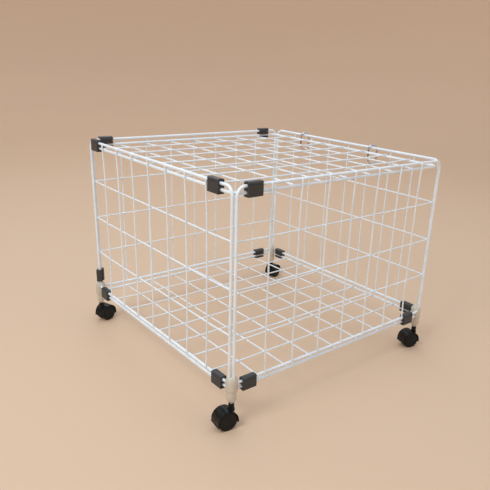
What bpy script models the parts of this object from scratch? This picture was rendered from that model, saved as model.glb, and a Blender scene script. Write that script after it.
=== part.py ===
"""Rabbit hutch of six welded wire panels on four swivel casters.

X runs along the right front side, Y along the left front side and Z up. The origin is on the floor,
under the middle of the footprint. Metres throughout.
"""

import math

import bmesh
import bpy
from mathutils import Matrix, Vector

# Panels
PANEL_WIDTH = 0.529
PANEL_HEIGHT = 0.350
FRAME_WIRE = 0.0055
MESH_WIRE = 0.0030
SIDE_CORNER = 0.015
FLAT_CORNER = 0.020
LID_CORNER = 0.012
COLUMN_PITCH = 0.065
ROW_PITCH = 0.083
WELD_SINK = 0.0005
LAYER_GAP = 0.0003
BOW_RUN = 0.060
COLUMN_END = 0.0015
FLAT_COLUMN_END = 0.0002
ROW_END_INSET = 0.0003
FRAME_SIDES = 8
MESH_SIDES = 6
ARC_STEPS = 4

# How the panels meet
POST_INSET = 0.0053
FLAT_INSET = 0.0015
LID_DOOR_GAP = 0.0125
CLIP_PITCH = 0.011
SIDE_LOW = 0.0875
GAP = 0.0003
FOOTPRINT_SHIFT = (0.0, -0.00724)

# Snap-on clips
CLIP_LENGTH = 0.029
CLIP_FROM_CORNER = 0.0370
CLIP_FURTHER = 0.0500
CLIP_PRONG = 0.0036
CLIP_BACK = 0.0034
CLIP_SLIT = 0.0010
POST_CLIP_HEIGHT = 0.0315

# Corner brackets
SLEEVE_RADIUS = 0.0087
SLEEVE_DROP = 0.0350
DOME_RADIUS = 0.0108
DOME_RISE = 0.0160
DOME_BEHIND_STEM = 0.0005
STEM_INSET = {"front": 0.0055, "right": 0.0055, "back": 0.0055, "left": 0.0005}

# Casters
WHEEL_RADIUS = 0.0182
WHEEL_INNER = 0.0037
WHEEL_OUTER = 0.0134
WHEEL_SIDES = 18
HOOD_RADIUS = 0.0200
HOOD_CAVITY = 0.0191
HOOD_HALF_WIDTH = 0.0142
WEB_HALF = 0.0030
COLLAR_RADIUS = 0.0053
COLLAR_TOP = 0.0292
TRAIL = 0.0120
STEM_RADIUS = 0.0033
AXLE_RADIUS = 0.0015
AXLE_HALF = 0.0088
BORE_RADIUS = 0.0043
SHANK = 0.0170
SOCKET_FLOOR = 0.0194
CASTER_YAW = {"front": -8.0, "right": -20.0, "left": 199.0, "back": 195.0}

# Snap hooks
HOOK_WIRE = 0.0038
HOOK_HALF_WIDTH = 0.0096
HOOK_STRAIGHT = 0.0115
HOOK_PIVOT = -0.0095
HOOK_NOSE = 0.0095
HOOK_YAW = -40.0
HOOK_PLAY = 0.0012
KNUCKLE_RADIUS = 0.0026
KNUCKLE_HALF = 0.0032
TONGUE_HALF = 0.0011
RIVET_RADIUS = 0.0007
HOOKS = {"near": 0.188, "far": 0.420}

RING_WIDTH = PANEL_WIDTH - FRAME_WIRE
RING_HEIGHT = PANEL_HEIGHT - FRAME_WIRE
PLANE_SPAN = RING_WIDTH + 2 * POST_INSET
FLAT_RING = PLANE_SPAN - 2 * FLAT_INSET
SIDE_HIGH = SIDE_LOW + RING_HEIGHT
LID_LEVEL = SIDE_HIGH - CLIP_PITCH
FLOOR_LEVEL = SIDE_LOW - CLIP_PITCH
WELD_OFFSET = (FRAME_WIRE + MESH_WIRE) / 2 - WELD_SINK
ORIGIN = Vector((-PLANE_SPAN / 2 + FOOTPRINT_SHIFT[0], -PLANE_SPAN / 2 + FOOTPRINT_SHIFT[1], 0))


def clear_scene():
    for obj in list(bpy.data.objects):
        bpy.data.objects.remove(obj, do_unlink=True)


def make_material(name, colour, roughness, metallic):
    material = bpy.data.materials.new(name)
    material.use_nodes = True
    shader = material.node_tree.nodes["Principled BSDF"]
    shader.inputs["Base Color"].default_value = (*colour, 1)
    shader.inputs["Roughness"].default_value = roughness
    shader.inputs["Metallic"].default_value = metallic
    material.diffuse_color = (*colour, 1)
    return material


def finish_object(name, bm, material, place=None, smooth_angle=35):
    bmesh.ops.recalc_face_normals(bm, faces=bm.faces)
    mesh = bpy.data.meshes.new(name)
    bm.to_mesh(mesh)
    bm.free()
    mesh.shade_smooth()
    mesh.set_sharp_from_angle(angle=math.radians(smooth_angle))
    obj = bpy.data.objects.new(name, mesh)
    bpy.context.scene.collection.objects.link(obj)
    if material:
        mesh.materials.append(material)
    if place is not None:
        obj.matrix_world = place
    return obj


def combine(target, other_bm, operation):
    """Joins a second shape to an object, or cuts it away, and keeps the result as plain mesh."""
    cutter = finish_object(target.name + "_operand", other_bm, None)
    modifier = target.modifiers.new("combine", "BOOLEAN")
    modifier.operation = operation
    modifier.solver = "EXACT"
    modifier.object = cutter
    graph = bpy.context.evaluated_depsgraph_get()
    mesh = bpy.data.meshes.new_from_object(target.evaluated_get(graph))
    target.modifiers.clear()
    target.data = mesh
    bpy.data.objects.remove(cutter, do_unlink=True)


def area_true(radius, sides):
    """The corner radius of a regular polygon with the area of a circle."""
    return radius * math.sqrt(2 * math.pi / (sides * math.sin(2 * math.pi / sides)))


def sweep(bm, path, normal, radius, sides, closed=False, turn=0.0):
    """A round bar along a path that lies in the plane with the given normal."""
    count = len(path)
    rings = []
    for index, point in enumerate(path):
        before = path[index - 1] if index or closed else point
        after = path[(index + 1) % count] if index < count - 1 or closed else point
        way_in = (point - before).normalized()
        way_out = (after - point).normalized()
        tangent = (way_in + way_out).normalized()
        side = tangent.cross(normal)
        straight = way_in if way_in.length else way_out
        mitre = 1 / max(0.5, tangent.dot(straight))
        ring = []
        for step in range(sides):
            angle = 2 * math.pi * (step + turn) / sides
            ring.append(bm.verts.new(
                point + radius * (math.cos(angle) * mitre * side + math.sin(angle) * normal)))
        rings.append(ring)
    pairs = list(zip(rings, rings[1:]))
    if closed:
        pairs.append((rings[-1], rings[0]))
    else:
        bm.faces.new(rings[0])
        bm.faces.new(rings[-1])
    for first, second in pairs:
        for step in range(sides):
            after = (step + 1) % sides
            bm.faces.new((first[step], first[after], second[after], second[step]))


def arc(centre, radius, start, stop, steps):
    """Points on an arc in the XY plane, with angles in degrees."""
    points = []
    for step in range(steps + 1):
        angle = math.radians(start + (stop - start) * step / steps)
        points.append(Vector((centre[0] + radius * math.cos(angle), centre[1] + radius * math.sin(angle), 0)))
    return points


def rounded_rectangle(width, height, low_radius, high_radius):
    """A path round a rectangle, with one corner radius at Y = 0 and one at the far side."""
    path = []
    corners = (
        (width - low_radius, low_radius, low_radius, -90),
        (width - high_radius, height - high_radius, high_radius, 0),
        (high_radius, height - high_radius, high_radius, 90),
        (low_radius, low_radius, low_radius, 180),
    )
    for x, y, radius, start in corners:
        path += arc((x, y), radius, start, start + 90, ARC_STEPS)
    return path


def extrude_outline(bm, outline, low, high):
    """A prism with an outline in the XY plane, from Z low to Z high."""
    bottom = [bm.verts.new((x, y, low)) for x, y in outline]
    top = [bm.verts.new((x, y, high)) for x, y in outline]
    bm.faces.new(bottom)
    bm.faces.new(top)
    for index in range(len(outline)):
        after = (index + 1) % len(outline)
        bm.faces.new((bottom[index], bottom[after], top[after], top[index]))


def lathe(bm, profile, sides, turn=0.0):
    """A turned solid about Z. The profile is (radius, z) from one end to the other."""
    rings = []
    for radius, z in profile:
        if radius == 0:
            rings.append([bm.verts.new((0, 0, z))])
            continue
        angles = [2 * math.pi * (step + turn) / sides for step in range(sides)]
        rings.append([bm.verts.new((radius * math.cos(a), radius * math.sin(a), z)) for a in angles])
    for first, second in zip(rings, rings[1:]):
        for step in range(sides):
            after = (step + 1) % sides
            if len(first) == 1:
                bm.faces.new((first[0], second[after], second[step]))
            elif len(second) == 1:
                bm.faces.new((first[step], first[after], second[0]))
            else:
                bm.faces.new((first[step], first[after], second[after], second[step]))
    for ring in (rings[0], rings[-1]):
        if len(ring) > 1:
            bm.faces.new(ring)


def about_y(bm):
    """Turns a shape made about Z so that its axis is Y."""
    bmesh.ops.rotate(bm, verts=bm.verts, matrix=Matrix.Rotation(math.radians(-90), 3, "X"))


def yaw_at(x, y, z, degrees):
    return Matrix.Translation(ORIGIN + Vector((x, y, z))) @ Matrix.Rotation(math.radians(degrees), 4, "Z")


def wire_path(start, along, length, outward):
    """A mesh wire: welded on the frame at both ends, bowed in to meet the other layer between."""
    layer = (MESH_WIRE + LAYER_GAP) / 2
    stations = ((0, WELD_OFFSET), (BOW_RUN, layer), (length - BOW_RUN, layer), (length, WELD_OFFSET))
    return [start + along * run + outward * rise for run, rise in stations]


def make_panel(name, size, radii, row_levels, place, material, ends):
    """A frame of thick wire with two layers of thin wire.

    The panel's own X is its width, Y its height and Z its outer face. Columns lie on the outer face
    and rows on the inner one. radii are those of the corners at Y = 0 and of the opposite ones. ends is
    how far a column's ends pass the frame's centre line.
    """
    width, height = size
    x_axis, y_axis, z_axis = Vector((1, 0, 0)), Vector((0, 1, 0)), Vector((0, 0, 1))
    bm = bmesh.new()
    frame_radius = area_true(FRAME_WIRE / 2, FRAME_SIDES)
    ring = rounded_rectangle(width, height, *radii)
    sweep(bm, ring, z_axis, frame_radius, FRAME_SIDES, closed=True, turn=0.5)
    panel = finish_object(name, bm, material)
    mesh_radius = area_true(MESH_WIRE / 2, MESH_SIDES)
    first = (width - 6 * COLUMN_PITCH) / 2
    wires = bmesh.new()
    for index in range(7):
        start = Vector((first + COLUMN_PITCH * index, -ends, 0))
        path = wire_path(start, y_axis, height + 2 * ends, z_axis)
        sweep(wires, path, x_axis, mesh_radius, MESH_SIDES, turn=0.5)
    for level in row_levels:
        start = Vector((ROW_END_INSET, level, 0))
        path = wire_path(start, x_axis, width - 2 * ROW_END_INSET, -z_axis)
        sweep(wires, path, y_axis, mesh_radius, MESH_SIDES, turn=0.5)
    combine(panel, wires, "UNION")
    panel.matrix_world = place
    return panel


def side_place(x, y, degrees):
    """Stands a panel upright with its outer face away from the cage."""
    return yaw_at(x, y, SIDE_LOW, degrees) @ Matrix.Rotation(math.radians(90), 4, "X")


def make_panels(white):
    far = POST_INSET + RING_WIDTH
    rows = [RING_HEIGHT / 2 + ROW_PITCH * number for number in (-1, 0, 1)]
    sides = (
        ("right_front_panel", POST_INSET, 0, 0),
        ("door_panel", PLANE_SPAN, POST_INSET, 90),
        ("back_left_panel", far, PLANE_SPAN, 180),
        ("left_front_panel", 0, far, 270),
    )
    for name, x, y, degrees in sides:
        make_panel(name, (RING_WIDTH, RING_HEIGHT), (SIDE_CORNER, SIDE_CORNER), rows,
                   side_place(x, y, degrees), white, COLUMN_END)
    flats = (
        ("bottom_panel", FLOOR_LEVEL, FLAT_INSET, FLAT_CORNER),
        ("top_panel", LID_LEVEL, LID_DOOR_GAP, LID_CORNER),
    )
    for name, level, gap, near_radius in flats:
        first = PLANE_SPAN / 2 - 3 * COLUMN_PITCH - gap
        flat_rows = [first + COLUMN_PITCH * index for index in range(7)]
        size = (FLAT_RING, PLANE_SPAN - FLAT_INSET - gap)
        place = yaw_at(PLANE_SPAN - gap, FLAT_INSET, level, 90)
        make_panel(name, size, (near_radius, FLAT_CORNER), flat_rows, place, white, FLAT_COLUMN_END)


def clip_outline(pitch, channel, prong, reach):
    """The clip's section: X is depth away from the cage, Y runs up the two channels.

    The upper channel closes round the inner side of its wire, and the lower one is open.
    """
    outer = pitch / 2 + channel + prong
    low, high = pitch / 2 - channel, pitch / 2 + channel
    back = channel + CLIP_BACK
    lip = channel - 0.0009
    return [
        (back, outer - 0.0020),
        (back - 0.0020, outer),
        (-channel, outer),
        (-reach, outer - 0.0024),
        (-reach, low + CLIP_SLIT),
        (-channel, low + CLIP_SLIT),
        (-channel, pitch / 2 + channel * 0.5),
        (-channel * 0.5, high),
        (channel * 0.5, high),
        (channel, pitch / 2 + channel * 0.5),
        (channel, pitch / 2 - channel * 0.5),
        (channel * 0.5, low),
        (-reach, low),
        (-reach, -pitch / 2 + lip),
        (-reach + 0.0018, -pitch / 2 + lip),
        (-reach + 0.0024, -low),
        (channel * 0.5, -low),
        (channel, -pitch / 2 + channel * 0.5),
        (channel, -pitch / 2 - channel * 0.5),
        (channel * 0.5, -high),
        (-reach + 0.0024, -high),
        (-reach + 0.0018, -pitch / 2 - lip),
        (-reach, -pitch / 2 - lip),
        (-reach, 0.0010 - outer),
        (-reach + 0.0010, -outer),
        (back - 0.0020, -outer),
        (back, 0.0020 - outer),
    ]


def make_clip(name, place, outline, charcoal):
    """A length of the clip's section. Its own X runs along the wires, -Y is outward and Z up."""
    bm = bmesh.new()
    extrude_outline(bm, outline, -CLIP_LENGTH / 2, CLIP_LENGTH / 2)
    turn = Matrix(((0, 0, -1), (-1, 0, 0), (0, 1, 0)))
    bmesh.ops.rotate(bm, verts=bm.verts, matrix=turn)
    return finish_object(name, bm, charcoal, place, smooth_angle=50)


def make_clips(charcoal):
    channel = area_true(FRAME_WIRE / 2, FRAME_SIDES) + GAP
    outline = clip_outline(CLIP_PITCH, channel, CLIP_PRONG, 0.0066)
    near, far = CLIP_FROM_CORNER, PLANE_SPAN - CLIP_FROM_CORNER
    inner_near, inner_far = CLIP_FURTHER, PLANE_SPAN - CLIP_FURTHER
    seats = (
        ("clip_top_left_side_front", 0, inner_near, 270, "top"),
        ("clip_top_left_side_left", 0, far, 270, "top"),
        ("clip_top_back_left", near, PLANE_SPAN, 180, "top"),
        ("clip_top_back_far", inner_far, PLANE_SPAN, 180, "top"),
        ("clip_top_right_side_front", near, 0, 0, "top"),
        ("clip_bottom_left_side_front", 0, near, 270, "bottom"),
        ("clip_bottom_left_side_left", 0, far, 270, "bottom"),
        ("clip_bottom_right_side_front", near, 0, 0, "bottom"),
        ("clip_bottom_right_side_right", inner_far, 0, 0, "bottom"),
        ("clip_bottom_back_far", inner_far, PLANE_SPAN, 180, "bottom"),
        ("clip_door_right", PLANE_SPAN, near, 90, "bottom"),
        ("clip_door_back", PLANE_SPAN, far, 90, "bottom"),
    )
    levels = {"top": (SIDE_HIGH + LID_LEVEL) / 2, "bottom": (SIDE_LOW + FLOOR_LEVEL) / 2}
    for name, x, y, degrees, edge in seats:
        make_clip(name, yaw_at(x, y, levels[edge], degrees), outline, charcoal)
    post_pitch = POST_INSET * math.sqrt(2)
    post_outline = clip_outline(post_pitch, channel, 0.0028, 0.0060)
    middle = POST_INSET / 2
    place = yaw_at(middle, PLANE_SPAN - middle, SIDE_LOW + POST_CLIP_HEIGHT, 225)
    upright = Matrix.Rotation(math.radians(-90), 4, "Y")
    make_clip("clip_left_corner_post", place @ upright, post_outline, charcoal)


def corner_wires(bm):
    """The wires that pass a bottom corner, swollen by the gap, for cutting a bracket round them."""
    radius = area_true(FRAME_WIRE / 2, FRAME_SIDES) + GAP
    z_axis = Vector((0, 0, 1))
    bend = arc((SIDE_CORNER, SIDE_CORNER), SIDE_CORNER, 180, 270, ARC_STEPS)
    upright = [Vector((0, 0.060, 0)), *bend, Vector((0.060, 0, 0))]
    right = [Vector((POST_INSET + point.x, 0, point.y)) for point in upright]
    left = [Vector((0, POST_INSET + point.x, point.y)) for point in upright]
    sweep(bm, right, Vector((0, -1, 0)), radius, FRAME_SIDES, turn=0.5)
    sweep(bm, left, Vector((-1, 0, 0)), radius, FRAME_SIDES, turn=0.5)
    flat = arc((FLAT_CORNER, FLAT_CORNER), FLAT_CORNER, 180, 270, ARC_STEPS)
    flat = [Vector((0, 0.060, 0)), *flat, Vector((0.060, 0, 0))]
    low = [point + Vector((FLAT_INSET, FLAT_INSET, -CLIP_PITCH)) for point in flat]
    sweep(bm, low, z_axis, radius, FRAME_SIDES, turn=0.5)


def make_bracket(corner, beige, door_side):
    """A plastic corner: a dome that holds the posts' feet, and a sleeve below it for the caster's stem.

    It is modelled at the front corner, z = 0 at the side panels' lower wire, and turned into place.
    """
    inset = STEM_INSET[corner]
    bm = bmesh.new()
    dome = (
        (0, -0.0165),
        (0.0096, -0.0165),
        (DOME_RADIUS, -0.0130),
        (DOME_RADIUS, 0.0030),
        (0.0094, DOME_RISE - 0.0060),
        (0.0058, DOME_RISE - 0.0018),
        (0, DOME_RISE),
    )
    lathe(bm, dome, 14)
    centre = inset + DOME_BEHIND_STEM
    bmesh.ops.translate(bm, verts=bm.verts, vec=(centre, centre, 0))
    bracket = finish_object("bracket_" + corner, bm, beige)
    sleeve = bmesh.new()
    profile = (
        (0, -SLEEVE_DROP),
        (SLEEVE_RADIUS - 0.0004, -SLEEVE_DROP),
        (SLEEVE_RADIUS, -0.0150),
        (0, -0.0150),
    )
    lathe(sleeve, profile, 14, turn=0.5)
    bmesh.ops.translate(sleeve, verts=sleeve.verts, vec=(inset, inset, 0))
    combine(bracket, sleeve, "UNION")
    wires = bmesh.new()
    corner_wires(wires)
    bore = bmesh.new()
    bore_end = -SLEEVE_DROP + SHANK + GAP
    lathe(bore, ((0, -0.050), (BORE_RADIUS, -0.050), (BORE_RADIUS, bore_end), (0, bore_end)), 12)
    bmesh.ops.translate(bore, verts=bore.verts, vec=(inset, inset, 0))
    combine(bracket, wires, "DIFFERENCE")
    combine(bracket, bore, "DIFFERENCE")
    if door_side:
        reach = area_true(FRAME_WIRE / 2, FRAME_SIDES) + 2 * GAP
        swing = bmesh.new()
        bmesh.ops.create_cube(swing, size=0.080)
        outward = Vector((reach - 0.040, 0, 0)) if door_side == "x" else Vector((0, reach - 0.040, 0))
        bmesh.ops.translate(swing, verts=swing.verts, vec=outward + Vector((0, 0, 0.0265)))
        combine(bracket, swing, "DIFFERENCE")
    bracket.data.shade_smooth()
    bracket.data.set_sharp_from_angle(angle=math.radians(38))
    x, y, degrees = CORNERS[corner]
    bracket.matrix_world = yaw_at(x, y, SIDE_LOW, degrees)


CORNERS = {
    "front": (0, 0, 0),
    "right": (PLANE_SPAN, 0, 90),
    "back": (PLANE_SPAN, PLANE_SPAN, 180),
    "left": (0, PLANE_SPAN, 270),
}


def stem_centre(corner):
    x, y, _ = CORNERS[corner]
    inset = STEM_INSET[corner]
    return x + math.copysign(inset, PLANE_SPAN / 2 - x), y + math.copysign(inset, PLANE_SPAN / 2 - y)


def make_stem(corner, steel):
    """The caster's steel stem: a shank in the sleeve, a flange, and a pin in the hood's collar."""
    foot = WHEEL_RADIUS + SOCKET_FLOOR + GAP
    collar = WHEEL_RADIUS + COLLAR_TOP
    sleeve = SIDE_LOW - SLEEVE_DROP
    profile = (
        (0, foot),
        (STEM_RADIUS - 0.0006, foot),
        (STEM_RADIUS, foot + 0.0006),
        (STEM_RADIUS, collar + 0.0005),
        (0.0047, collar + 0.0005),
        (0.0047, collar + 0.0022),
        (0.0038, collar + 0.0026),
        (0.0038, sleeve + 0.0095),
        (0.0041, sleeve + 0.0105),
        (0.0036, sleeve + 0.0115),
        (0.0036, sleeve + SHANK - 0.0010),
        (0.0028, sleeve + SHANK),
        (0, sleeve + SHANK),
    )
    bm = bmesh.new()
    lathe(bm, profile, 10)
    finish_object("stem_" + corner, bm, steel, yaw_at(*stem_centre(corner), 0, 0), smooth_angle=40)


def hood_outline():
    """The side view of the hood about its axle: a cover over the wheels, a hub, and a lip at each end."""
    points = [(HOOD_RADIUS + 0.0012, -10), (HOOD_RADIUS, -4)]
    points += [(HOOD_RADIUS, angle) for angle in range(5, 186, 15)]
    points += [(HOOD_RADIUS + 0.0004, 190), (HOOD_RADIUS + 0.0016, 196), (HOOD_CAVITY - 0.0004, 199)]
    points += [(0.0062, angle) for angle in (206, 240, 270, 300, 326)]
    points += [(HOOD_CAVITY - 0.0004, 344)]
    outline = []
    for radius, angle in points:
        turn = math.radians(angle)
        outline.append((radius * math.cos(turn), radius * math.sin(turn)))
    return outline


def make_hood(corner, black):
    """The hood, with its wheel spaces, its stem socket and its axle hole. Its own -X trails."""
    bm = bmesh.new()
    extrude_outline(bm, hood_outline(), -HOOD_HALF_WIDTH, HOOD_HALF_WIDTH)
    stand_up(bm)
    bmesh.ops.translate(bm, verts=bm.verts, vec=(-TRAIL, 0, 0))
    hood = finish_object("caster_hood_" + corner, bm, black)
    collar = bmesh.new()
    lathe(collar, ((0, 0.0060), (COLLAR_RADIUS, 0.0060), (COLLAR_RADIUS, COLLAR_TOP - 0.0008),
                   (COLLAR_RADIUS - 0.0008, COLLAR_TOP), (0, COLLAR_TOP)), 12)
    combine(hood, collar, "UNION")
    for low, high in ((WEB_HALF, 0.030), (-0.030, -WEB_HALF)):
        space = bmesh.new()
        lathe(space, ((0, low), (HOOD_CAVITY, low), (HOOD_CAVITY, high), (0, high)), 24)
        about_y(space)
        bmesh.ops.translate(space, verts=space.verts, vec=(-TRAIL, 0, 0))
        combine(hood, space, "DIFFERENCE")
    socket = bmesh.new()
    socket_radius = STEM_RADIUS + GAP
    profile = ((0, SOCKET_FLOOR), (socket_radius, SOCKET_FLOOR), (socket_radius, 0.040), (0, 0.040))
    lathe(socket, profile, 10)
    combine(hood, socket, "DIFFERENCE")
    pin = bmesh.new()
    lathe(pin, ((0, -0.020), (AXLE_RADIUS + GAP, -0.020), (AXLE_RADIUS + GAP, 0.020), (0, 0.020)), 8)
    about_y(pin)
    bmesh.ops.translate(pin, verts=pin.verts, vec=(-TRAIL, 0, 0))
    combine(hood, pin, "DIFFERENCE")
    hood.data.shade_smooth()
    hood.data.set_sharp_from_angle(angle=math.radians(35))
    hood.matrix_world = yaw_at(*stem_centre(corner), WHEEL_RADIUS, CASTER_YAW[corner])
    return hood


def make_axle(corner, steel):
    bm = bmesh.new()
    lathe(bm, ((0, -AXLE_HALF), (AXLE_RADIUS, -AXLE_HALF), (AXLE_RADIUS, AXLE_HALF), (0, AXLE_HALF)), 8)
    about_y(bm)
    place = yaw_at(*stem_centre(corner), WHEEL_RADIUS, CASTER_YAW[corner])
    finish_object("axle_" + corner, bm, steel, place @ Matrix.Translation((-TRAIL, 0, 0)))


def make_wheel(corner, side, black):
    """One of the caster's two wheels, bored from its inner face for the axle."""
    name = "wheel_" + corner + ("_a" if side < 0 else "_b")
    corner_radius = WHEEL_RADIUS / math.cos(math.pi / WHEEL_SIDES)
    bore = AXLE_RADIUS + GAP
    profile = (
        (0, AXLE_HALF + GAP),
        (bore, AXLE_HALF + GAP),
        (bore, WHEEL_INNER),
        (corner_radius - 0.0012, WHEEL_INNER),
        (corner_radius, WHEEL_INNER + 0.0010),
        (corner_radius, WHEEL_OUTER - 0.0012),
        (corner_radius - 0.0014, WHEEL_OUTER),
        (0, WHEEL_OUTER),
    )
    bm = bmesh.new()
    lathe(bm, profile, WHEEL_SIDES, turn=0.0)
    about_y(bm)
    if side < 0:
        bmesh.ops.rotate(bm, verts=bm.verts, matrix=Matrix.Rotation(math.pi, 3, "X"))
    place = yaw_at(*stem_centre(corner), WHEEL_RADIUS, CASTER_YAW[corner])
    finish_object(name, bm, black, place @ Matrix.Translation((-TRAIL, 0, 0)), smooth_angle=40)


def hook_place(along):
    """Where a snap hook hangs: on the door's top wire, which it swings about."""
    return yaw_at(PLANE_SPAN, along, SIDE_HIGH, HOOK_YAW)


def hook_middle():
    """How far the middle of a snap hook lies above the wire it hangs on."""
    wire = area_true(FRAME_WIRE / 2, FRAME_SIDES)
    inner_top = HOOK_STRAIGHT + HOOK_HALF_WIDTH - HOOK_WIRE / 2
    return wire + HOOK_PLAY - inner_top


def stand_up(bm):
    """Turns a shape drawn in the XY plane to stand in the XZ plane, its normal along -Y."""
    bmesh.ops.rotate(bm, verts=bm.verts, matrix=Matrix.Rotation(math.radians(90), 3, "X"))


def knuckle_slice(low, high, radius, sides=10):
    bm = bmesh.new()
    lathe(bm, ((0, low), (radius, low), (radius, high), (0, high)), sides)
    bmesh.ops.translate(bm, verts=bm.verts, vec=(-HOOK_HALF_WIDTH, HOOK_PIVOT, 0))
    return bm


def make_hook(name, place, steel):
    """The snap hook's body: a bent wire from its nose, over the top and down to the gate's knuckle."""
    half = HOOK_HALF_WIDTH
    path = [Vector((-half, HOOK_NOSE, 0))]
    path += arc((0, HOOK_STRAIGHT), half, 180, 0, 8)
    path += arc((0, -HOOK_STRAIGHT), half, 0, -180, 8)
    path += [Vector((-half, HOOK_PIVOT - 0.0004, 0))]
    bm = bmesh.new()
    sweep(bm, path, Vector((0, 0, 1)), area_true(HOOK_WIRE / 2, 8), 8, turn=0.5)
    body = finish_object("snap_hook_" + name, bm, steel)
    combine(body, knuckle_slice(-KNUCKLE_HALF, KNUCKLE_HALF, KNUCKLE_RADIUS), "UNION")
    combine(body, knuckle_slice(-TONGUE_HALF - GAP, TONGUE_HALF + GAP, KNUCKLE_RADIUS + 0.0012), "DIFFERENCE")
    combine(body, knuckle_slice(-0.010, 0.010, RIVET_RADIUS + GAP, 8), "DIFFERENCE")
    body.data.transform(Matrix.Translation((0, 0, hook_middle())) @ Matrix.Rotation(math.radians(90), 4, "X"))
    body.matrix_world = place


def make_gate(name, place, steel):
    """The sprung gate: a slim bar that closes the hook's side, with a flat tongue on the rivet."""
    bm = knuckle_slice(-TONGUE_HALF, TONGUE_HALF, KNUCKLE_RADIUS - 0.0003)
    gate = finish_object("snap_gate_" + name, bm, steel)
    bar = bmesh.new()
    foot, head = HOOK_PIVOT + 0.0018, HOOK_NOSE - GAP
    path = [Vector((-HOOK_HALF_WIDTH, foot, 0)), Vector((-HOOK_HALF_WIDTH, head, 0))]
    sweep(bar, path, Vector((0, 0, 1)), 0.0011, 6)
    combine(gate, bar, "UNION")
    rod = bmesh.new()
    shoulder = HOOK_PIVOT + KNUCKLE_RADIUS + 0.0016
    path = [Vector((-HOOK_HALF_WIDTH, shoulder, 0)), Vector((-HOOK_HALF_WIDTH, head, 0))]
    sweep(rod, path, Vector((0, 0, 1)), 0.0016, 8, turn=0.5)
    combine(gate, rod, "UNION")
    combine(gate, knuckle_slice(-0.010, 0.010, RIVET_RADIUS + GAP, 8), "DIFFERENCE")
    gate.data.transform(Matrix.Translation((HOOK_HALF_WIDTH, -HOOK_PIVOT, 0)))
    gate.data.transform(Matrix.Rotation(math.radians(90), 4, "X"))
    gate.matrix_world = place @ Matrix.Translation((-HOOK_HALF_WIDTH, 0, hook_middle() + HOOK_PIVOT))


def make_rivet(name, place, steel):
    head = KNUCKLE_HALF + GAP
    bm = bmesh.new()
    profile = (
        (0, -head - 0.0008), (0.0013, -head - 0.0006), (0.0016, -head), (RIVET_RADIUS, -head),
        (RIVET_RADIUS, head), (0.0016, head), (0.0013, head + 0.0006), (0, head + 0.0008),
    )
    lathe(bm, profile, 8)
    stand_up(bm)
    place = place @ Matrix.Translation((-HOOK_HALF_WIDTH, 0, hook_middle() + HOOK_PIVOT))
    finish_object("snap_rivet_" + name, bm, steel, place)


def main():
    clear_scene()
    white = make_material("white_coated_wire", (0.80, 0.83, 0.86), 0.35, 0.0)
    charcoal = make_material("charcoal_plastic", (0.035, 0.037, 0.040), 0.45, 0.0)
    beige = make_material("beige_plastic", (0.46, 0.39, 0.31), 0.55, 0.0)
    black = make_material("black_nylon", (0.012, 0.012, 0.013), 0.22, 0.0)
    steel = make_material("zinc_plated_steel", (0.72, 0.72, 0.74), 0.28, 1.0)
    make_panels(white)
    make_clips(charcoal)
    door_sides = {"front": None, "right": "y", "back": "x", "left": None}
    for corner in CORNERS:
        make_bracket(corner, beige, door_sides[corner])
        make_stem(corner, steel)
        make_hood(corner, black)
        make_axle(corner, steel)
        for side in (-1, 1):
            make_wheel(corner, side, black)
    for name, along in HOOKS.items():
        place = hook_place(along)
        make_hook(name, place, steel)
        make_gate(name, place, steel)
        make_rivet(name, place, steel)


main()
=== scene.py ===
"""Looks of the wire hutch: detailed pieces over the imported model, materials, light and camera.

X runs along the right front side, Y along the left front side and Z up. Metres throughout.
"""

import math

import bmesh
import bpy
from mathutils import Matrix, Vector


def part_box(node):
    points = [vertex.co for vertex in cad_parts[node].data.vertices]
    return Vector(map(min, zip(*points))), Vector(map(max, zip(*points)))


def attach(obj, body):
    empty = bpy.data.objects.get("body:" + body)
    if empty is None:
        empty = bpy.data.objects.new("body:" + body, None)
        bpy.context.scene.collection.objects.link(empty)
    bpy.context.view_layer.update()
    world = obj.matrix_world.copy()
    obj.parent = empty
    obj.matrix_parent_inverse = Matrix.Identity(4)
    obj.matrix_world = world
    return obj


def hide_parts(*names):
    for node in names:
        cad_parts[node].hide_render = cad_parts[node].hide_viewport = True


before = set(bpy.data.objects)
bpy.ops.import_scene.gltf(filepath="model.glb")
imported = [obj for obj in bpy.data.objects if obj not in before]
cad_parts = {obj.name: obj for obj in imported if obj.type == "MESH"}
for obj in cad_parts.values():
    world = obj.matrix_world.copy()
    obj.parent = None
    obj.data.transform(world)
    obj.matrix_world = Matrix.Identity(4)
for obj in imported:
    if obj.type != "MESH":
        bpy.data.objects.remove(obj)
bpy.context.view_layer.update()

# Panels, as in the CAD
FRAME_RADIUS = 0.00275
MESH_RADIUS = 0.00150
RING_WIDTH = 0.5235
RING_HEIGHT = 0.3445
SIDE_CORNER = 0.015
FLAT_CORNER = 0.020
LID_CORNER = 0.012
COLUMN_PITCH = 0.065
ROW_PITCH = 0.083
WELD_OFFSET = 0.00375
LAYER = 0.00165
BOW_RUN = 0.060
POST_INSET = 0.0053
FLAT_INSET = 0.0015
LID_DOOR_GAP = 0.0125
PLANE_SPAN = RING_WIDTH + 2 * POST_INSET
SIDE_LOW = 0.0875
SIDE_HIGH = SIDE_LOW + RING_HEIGHT
CLIP_PITCH = 0.011
COLUMN_END = 0.0014
FLAT_COLUMN_END = 0.0002
ROW_END_INSET = 0.0003
MESH_WIRES = 7
FRAME_SEGMENTS = 24
MESH_SEGMENTS = 14
CLEARANCE = 0.0003

# A rounded bar end: how far in, and how wide, as shares of the bar's radius
BAR_END = ((0.0, 0.35), (0.08, 0.66), (0.28, 0.90), (0.60, 1.0))

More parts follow.
